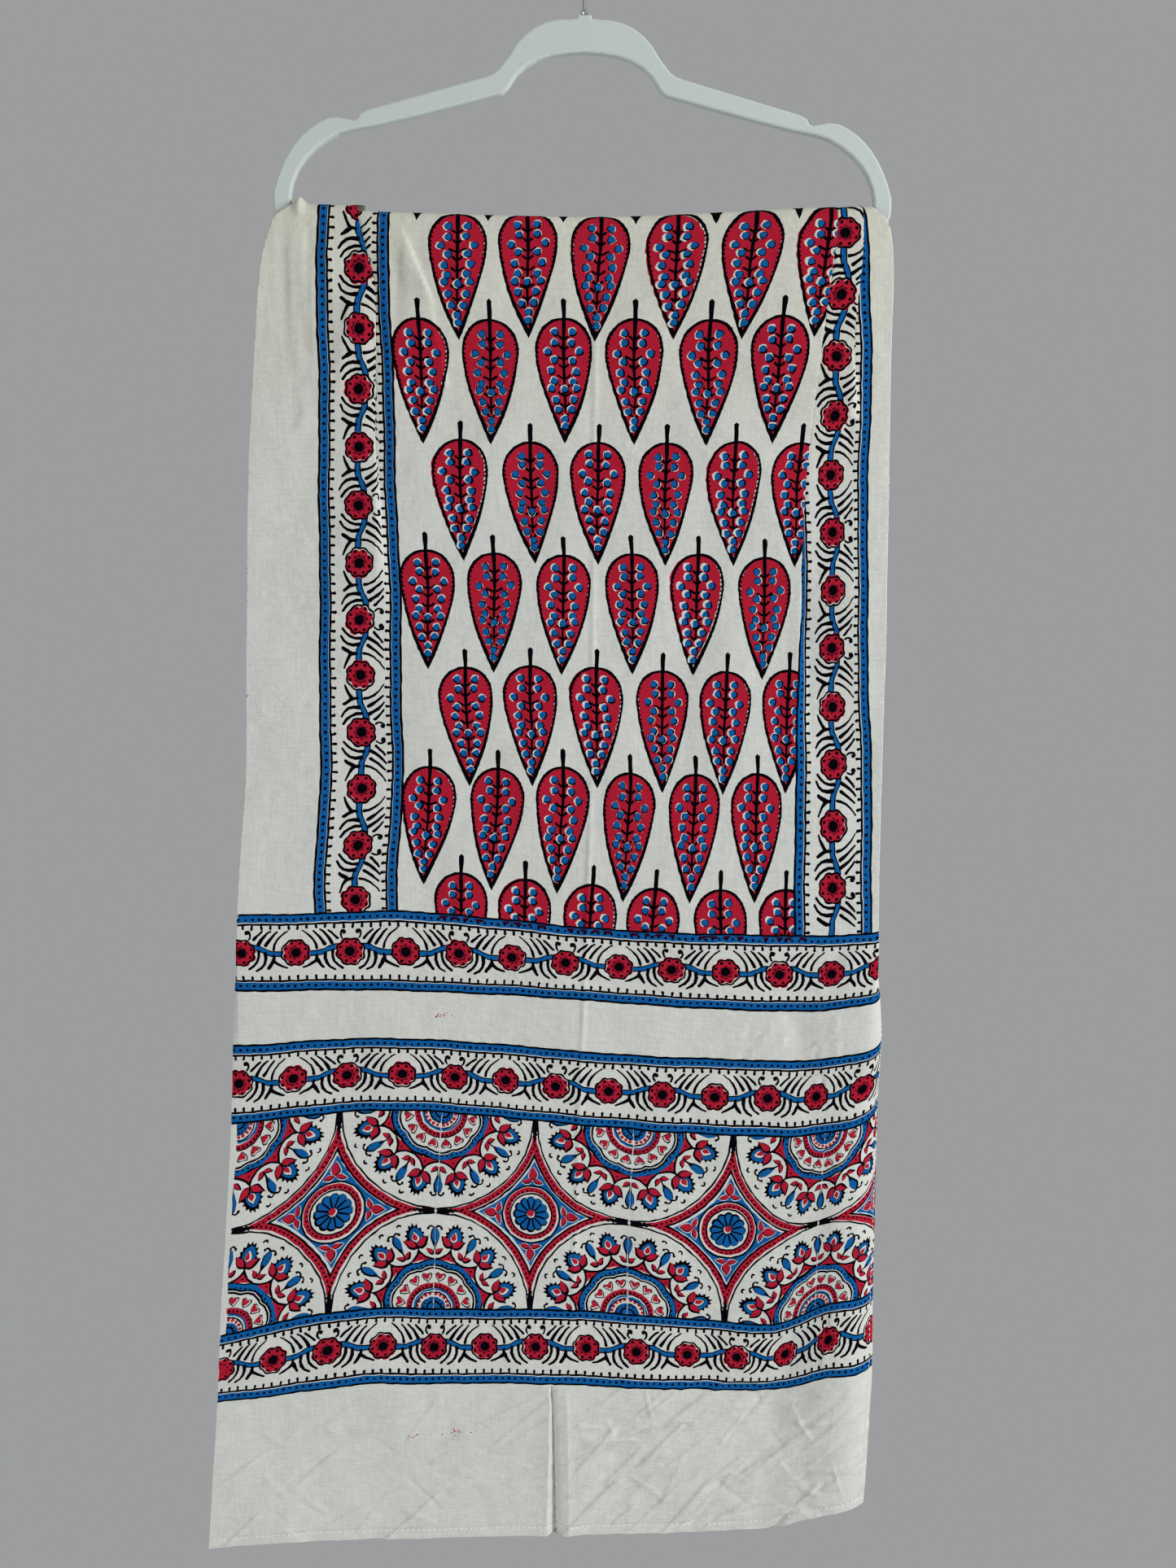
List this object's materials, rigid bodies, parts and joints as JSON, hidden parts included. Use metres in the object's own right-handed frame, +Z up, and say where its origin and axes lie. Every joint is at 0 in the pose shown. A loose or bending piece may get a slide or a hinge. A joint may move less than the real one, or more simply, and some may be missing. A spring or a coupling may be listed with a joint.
{
  "type": "block-printed cotton stole draped on a slim clothes hanger",
  "caption": "Long printed cotton stole hung folded in half over the bar of a slim flocked hanger, its margins turned back and its print cut by soft folds.",
  "frame": {"origin": "the hang point, inside the top of the hook's crook", "axes": "+Z up, +X to the right of someone who faces the printed front, +Y into the picture, away from them"},
  "size_m": [0.5392, 0.0299, 1.2458],
  "materials": {
    "printed_cotton": "plain-woven cream cotton printed in red, blue and black",
    "flocked_plastic": "pale grey-green, short flock with a soft sheen",
    "plated_wire": "bright plated steel wire",
    "collar_metal": "bright plated collar"
  },
  "bodies": {
    "root": {"cloth": "printed_cotton", "hanger": "flocked_plastic", "hook": "plated_wire", "collar": "collar_metal"}
  },
  "joints": []
}
